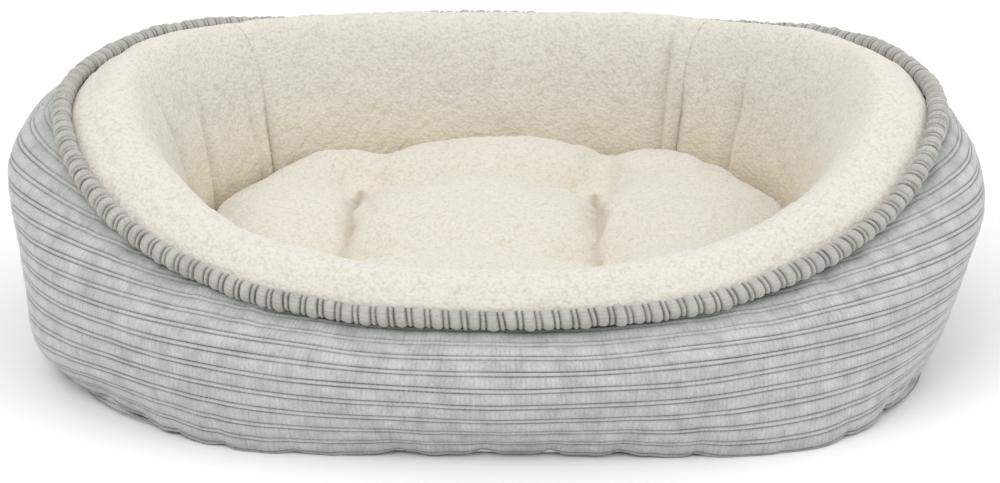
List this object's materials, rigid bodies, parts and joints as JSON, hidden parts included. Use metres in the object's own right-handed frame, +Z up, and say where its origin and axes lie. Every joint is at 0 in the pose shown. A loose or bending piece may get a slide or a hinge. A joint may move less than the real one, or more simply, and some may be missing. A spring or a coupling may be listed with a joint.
{
  "type": "pet cushion bed",
  "caption": "Oval bolster bed for a cat or small dog: corduroy outside, sherpa inside, corded rim that dips at the front, and a loose tufted cushion in the nest.",
  "frame": {"origin": "middle of the bed's outline, on the floor", "axes": "+X along the bed's length, to the right seen from the front; +Y to the high back; +Z up"},
  "size_m": [0.646, 0.5, 0.174],
  "materials": {
    "corduroy": "light grey wide-and-narrow wale corduroy",
    "corduroy_piping": "light grey corduroy, its wales across the cord",
    "sherpa": "cream sherpa fleece with a curly pile",
    "pale_felt": "pale non-woven backing cloth",
    "non_slip_cloth": "dark grey base cloth with raised non-slip dots",
    "fibre_fill": "white polyester fibre fill",
    "cotton_cord": "twisted cotton cord",
    "grey_thread": "grey polyester sewing thread",
    "cream_thread": "cream polyester sewing thread"
  },
  "bodies": {
    "bed": {"outer_wall_front": "corduroy", "outer_wall_back": "corduroy", "liner_back": "sherpa", "liner_front": "sherpa", "rim_piping_cover": "corduroy_piping", "rim_piping_cord": "cotton_cord", "rim_seam_thread": "grey_thread", "base_seam_thread": "grey_thread", "nest_seam_thread": "cream_thread", "bolster_fill": "fibre_fill", "base_panel": "non_slip_cloth", "nest_floor": "pale_felt"},
    "cushion": {"cushion_top_cover": "sherpa", "cushion_under_cover": "pale_felt", "cushion_fill": "fibre_fill", "cushion_tie_front_left": "cream_thread", "cushion_tie_front_right": "cream_thread", "cushion_tie_back_left": "cream_thread", "cushion_tie_back_right": "cream_thread", "cushion_edge_thread": "cream_thread"}
  },
  "joints": [
    {"name": "cushion_lift", "type": "slide", "parent": "bed", "child": "cushion", "axis": [0, 0, 1], "range_m": [0, 0.25]}
  ]
}
